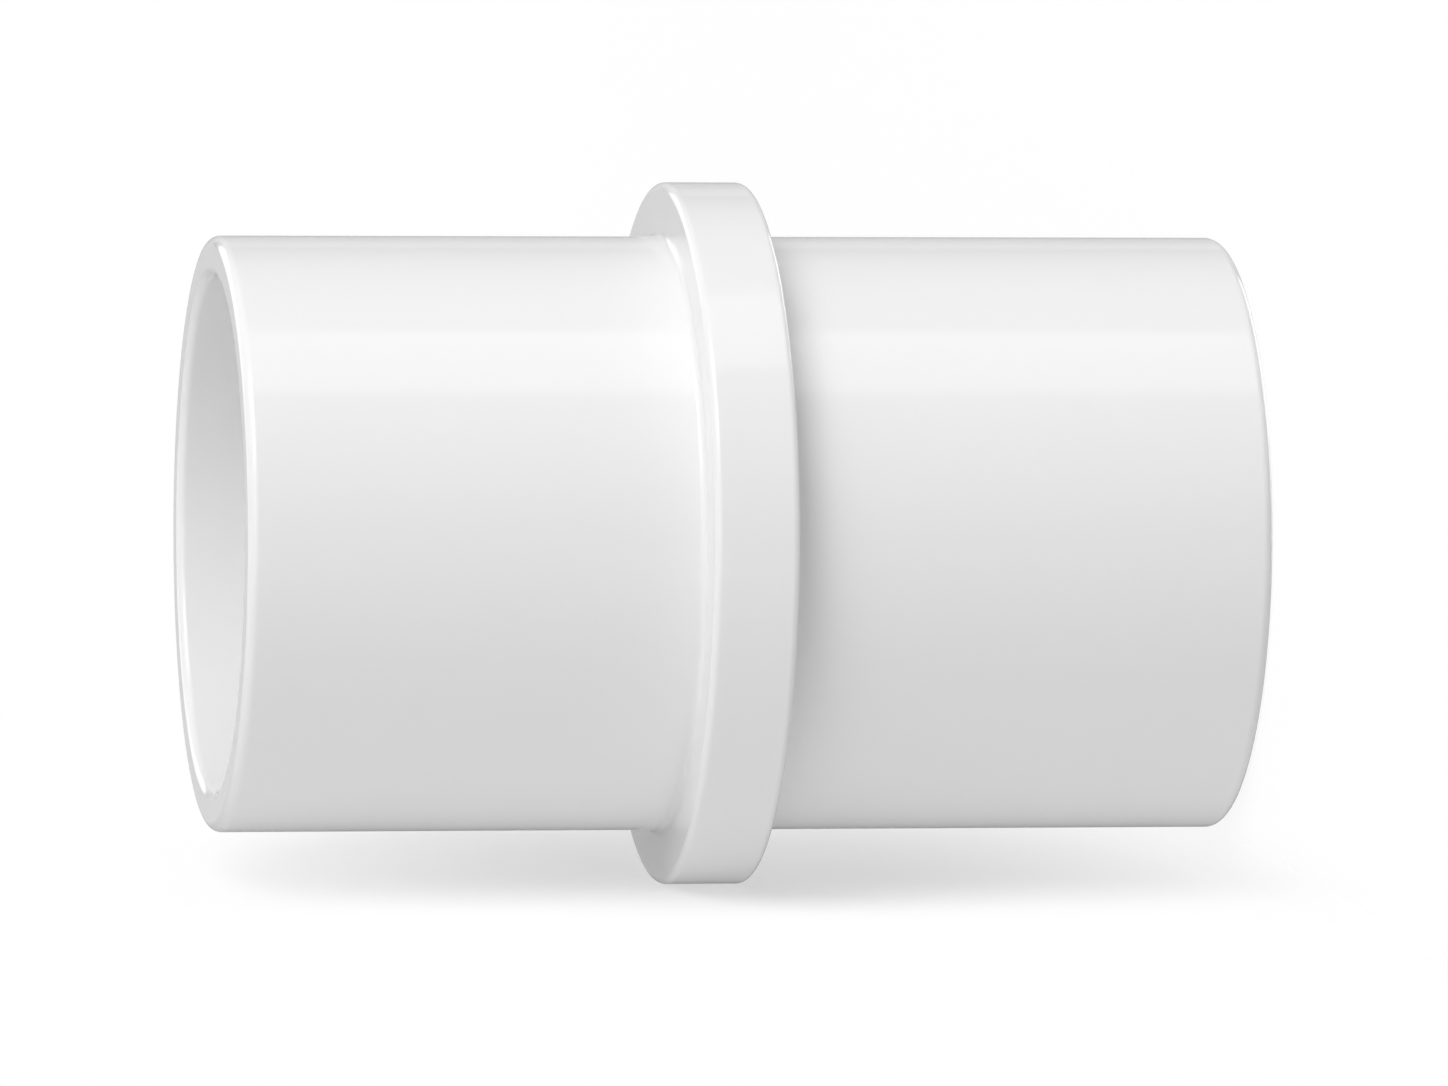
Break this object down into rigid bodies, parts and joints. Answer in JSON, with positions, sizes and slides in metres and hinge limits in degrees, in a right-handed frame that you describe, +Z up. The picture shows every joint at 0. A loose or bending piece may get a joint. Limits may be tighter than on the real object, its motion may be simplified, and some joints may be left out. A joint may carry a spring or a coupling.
{
  "type": "insert coupling",
  "caption": "Insert coupling: a white plastic moulding with a plain round spigot on each side of a stop collar and a straight bore through it. It joins pipe ends from the inside.",
  "frame": {"origin": "centre of the lower end face, which the part stands on", "axes": "+Z up along the bore axis, from the longer lower spigot to the shorter upper one; X and Y are any two directions across it, as the part is round"},
  "size_m": [0.0482, 0.0482, 0.07],
  "materials": {
    "white_pvc": "gloss"
  },
  "bodies": {
    "root": {"insert_coupling": "white_pvc"}
  },
  "joints": []
}
